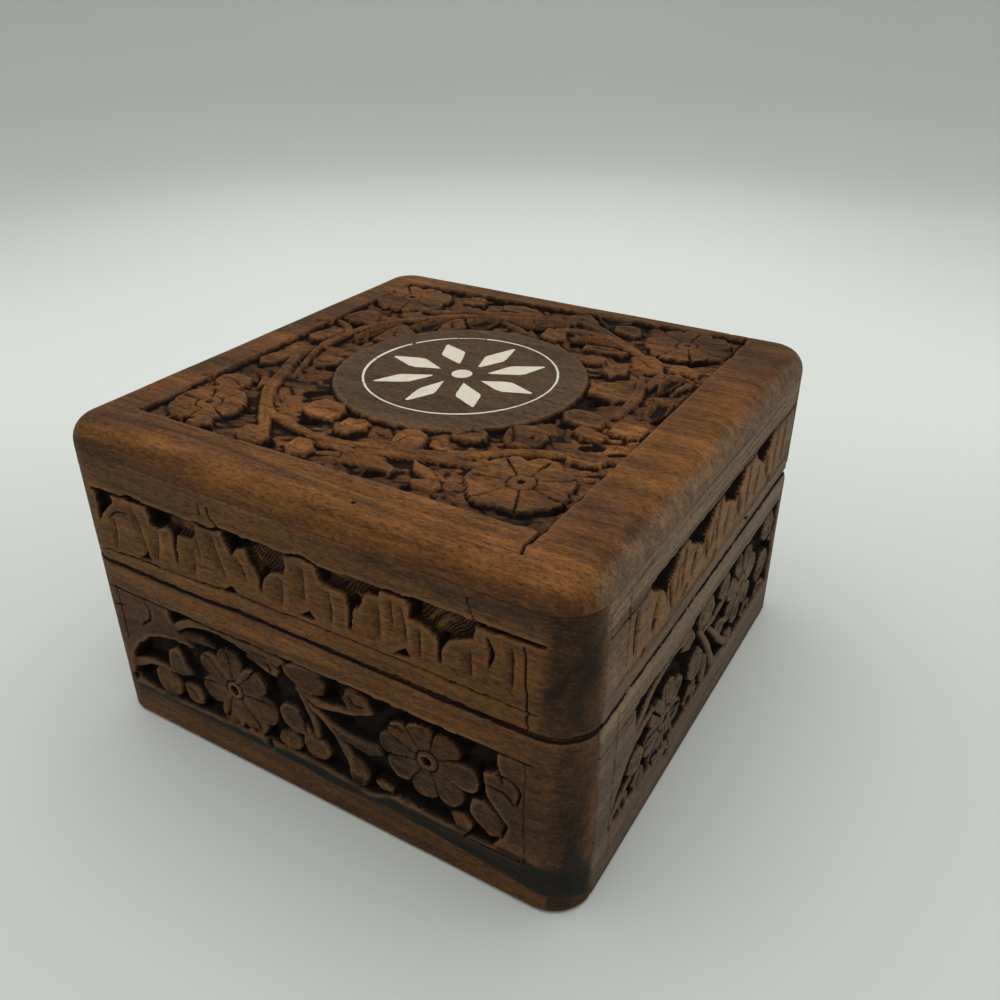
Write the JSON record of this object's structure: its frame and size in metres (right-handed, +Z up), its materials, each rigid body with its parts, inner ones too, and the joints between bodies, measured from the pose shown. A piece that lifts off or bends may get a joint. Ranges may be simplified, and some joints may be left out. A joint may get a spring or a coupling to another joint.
{
  "type": "hinged carved wooden trinket box",
  "caption": "Small square hinged box of carved hardwood boards, with floral side panels, a carved lid and a round white inlay; holds trinkets.",
  "frame": {"origin": "centre of the underside, at the bottom centre of the box's bounding box, on the surface that it stands on", "axes": "+Z up through the lid; -Y is the front, opposite the hinges; +X is the right-hand side seen from the front"},
  "size_m": [0.1016, 0.1016, 0.0624],
  "materials": {
    "carved_wood": "oiled, satin, dark in the carving",
    "lid_wood": "oiled, satin, dark in the carving",
    "inner_wood": "plain sanded",
    "bone_inlay": "polished bone, flush",
    "hinge_brass": "dull, slightly tarnished"
  },
  "bodies": {
    "base": {"base_front_board": "carved_wood", "base_right_board": "carved_wood", "base_back_board": "carved_wood", "base_left_board": "carved_wood", "bottom_board": "inner_wood", "hinge_left_base_leaf": "hinge_brass", "hinge_right_base_leaf": "hinge_brass", "hinge_left_pin": "hinge_brass", "hinge_right_pin": "hinge_brass", "base_hinge_nails": "hinge_brass"},
    "lid": {"lid_top_board": "lid_wood", "lid_front_board": "carved_wood", "lid_right_board": "carved_wood", "lid_back_board": "carved_wood", "lid_left_board": "carved_wood", "inlay_ring": "bone_inlay", "inlay_centre_dot": "bone_inlay", "inlay_petal_1": "bone_inlay", "inlay_petal_2": "bone_inlay", "inlay_petal_3": "bone_inlay", "inlay_petal_4": "bone_inlay", "inlay_petal_5": "bone_inlay", "inlay_petal_6": "bone_inlay", "inlay_petal_7": "bone_inlay", "inlay_petal_8": "bone_inlay", "hinge_left_lid_leaf": "hinge_brass", "hinge_right_lid_leaf": "hinge_brass", "lid_hinge_nails": "hinge_brass"}
  },
  "joints": [
    {"name": "lid_hinge", "type": "hinge", "parent": "base", "child": "lid", "pos_m": [0, 0.0492, 0.0362], "axis": [-1, 0, 0], "range_deg": [0, 100]}
  ]
}
